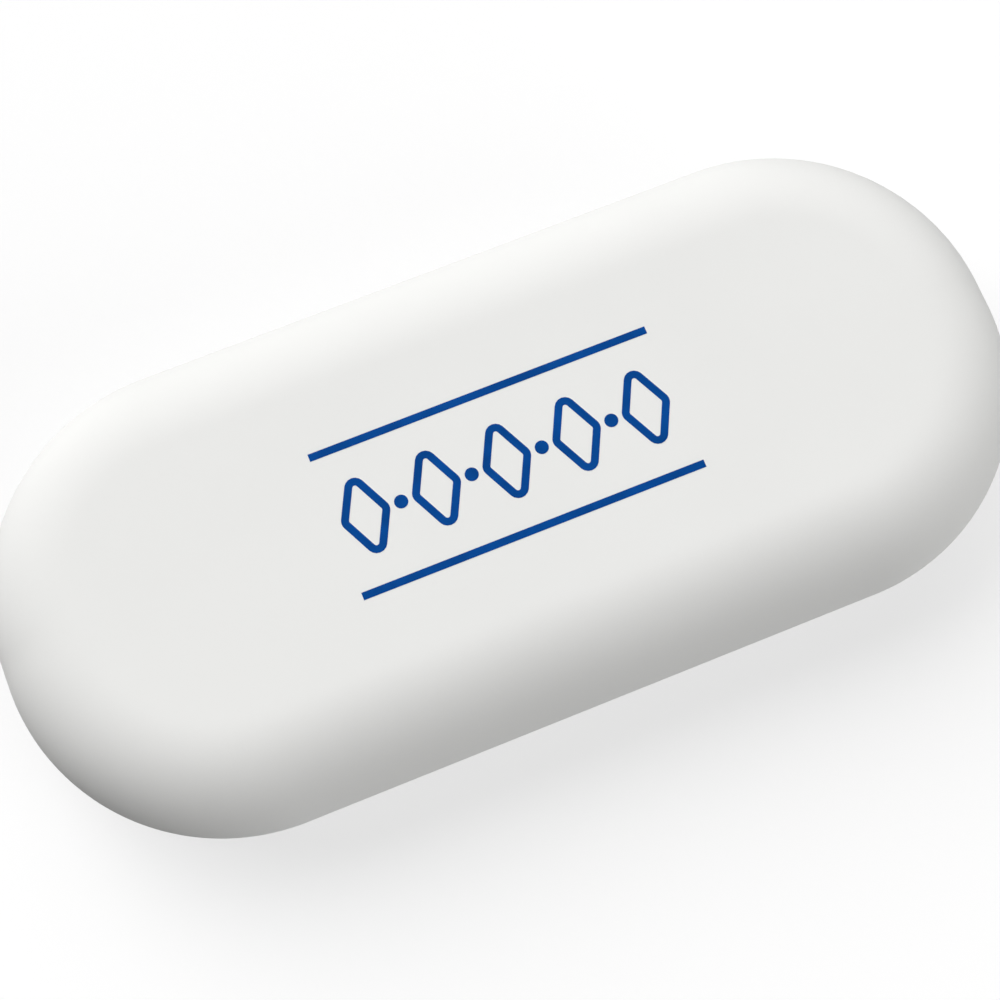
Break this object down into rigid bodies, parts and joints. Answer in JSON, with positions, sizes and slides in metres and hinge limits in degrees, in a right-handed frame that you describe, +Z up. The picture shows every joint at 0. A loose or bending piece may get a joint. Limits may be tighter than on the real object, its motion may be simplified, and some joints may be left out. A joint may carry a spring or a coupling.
{
  "type": "rubber eraser",
  "caption": "Oblong moulded rubber eraser with flat faces, large rounded corners and a half-round roll round its whole edge.",
  "frame": {"origin": "middle of the flat underside", "axes": "+X along the block, +Y across it, +Z up through its thickness"},
  "size_m": [0.062, 0.028, 0.0115],
  "materials": {
    "eraser_rubber": "soft white eraser rubber, moulded, matt with a faint silky sheen"
  },
  "bodies": {
    "root": {"eraser": "eraser_rubber"}
  },
  "joints": []
}
